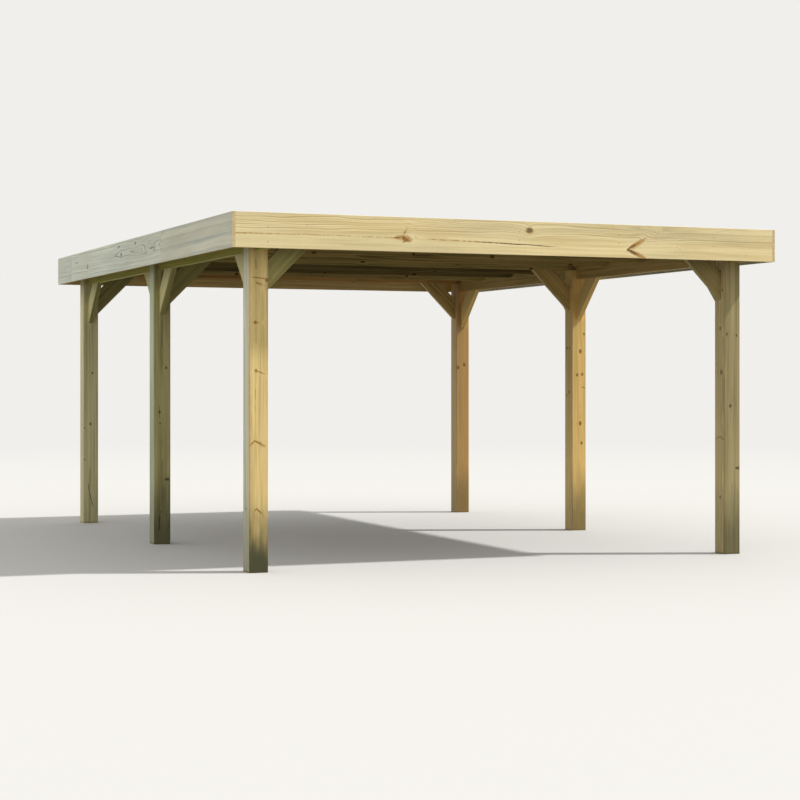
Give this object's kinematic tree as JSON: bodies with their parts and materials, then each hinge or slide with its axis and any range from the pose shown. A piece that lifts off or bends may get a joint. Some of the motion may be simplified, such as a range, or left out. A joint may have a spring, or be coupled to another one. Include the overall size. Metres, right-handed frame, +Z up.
{
  "type": "open timber carport",
  "caption": "Flat-roofed open timber carport: square posts with knee braces carry two side beams, cross joists, a boarded deck and a deep fascia frame.",
  "frame": {"origin": "on the ground, at the centre of the roof's outline", "axes": "+X to the right seen from the front, +Y towards the rear, +Z up"},
  "size_m": [4.262, 5.45, 2.449],
  "materials": {
    "post_timber": "planed treated softwood, oiled by weather",
    "brace_timber": "planed treated softwood",
    "beam_timber": "planed treated softwood, slightly green",
    "joist_timber": "planed treated softwood",
    "fascia_front": "planed pale softwood",
    "fascia_side": "planed softwood, slightly silvered",
    "deck_board": "sawn tongue and groove boards",
    "roof_rubber": "matt rubber sheet"
  },
  "bodies": {
    "root": {"left_front_post": "post_timber", "left_middle_post": "post_timber", "left_rear_post": "post_timber", "right_front_post": "post_timber", "right_middle_post": "post_timber", "right_rear_post": "post_timber", "left_front_cross_brace": "brace_timber", "left_middle_cross_brace": "brace_timber", "left_rear_cross_brace": "brace_timber", "right_front_cross_brace": "brace_timber", "right_middle_cross_brace": "brace_timber", "right_rear_cross_brace": "brace_timber", "left_front_brace_rearward": "brace_timber", "left_middle_brace_forward": "brace_timber", "left_middle_brace_rearward": "brace_timber", "left_rear_brace_forward": "brace_timber", "right_front_brace_rearward": "brace_timber", "right_middle_brace_forward": "brace_timber", "right_middle_brace_rearward": "brace_timber", "right_rear_brace_forward": "brace_timber", "left_beam": "beam_timber", "right_beam": "beam_timber", "joist_1": "joist_timber", "joist_2": "joist_timber", "joist_3": "joist_timber", "joist_4": "joist_timber", "joist_5": "joist_timber", "joist_6": "joist_timber", "joist_7": "joist_timber", "joist_8": "joist_timber", "joist_9": "joist_timber", "left_fascia_blocks": "joist_timber", "right_fascia_blocks": "joist_timber", "front_fascia_blocks": "joist_timber", "rear_fascia_blocks": "joist_timber", "front_fascia": "fascia_front", "rear_fascia": "fascia_front", "left_fascia_front": "fascia_side", "left_fascia": "fascia_side", "left_fascia_end": "fascia_side", "right_fascia_front": "fascia_side", "right_fascia": "fascia_side", "right_fascia_end": "fascia_side", "roof_deck": "deck_board", "roof_covering": "roof_rubber"}
  },
  "joints": []
}
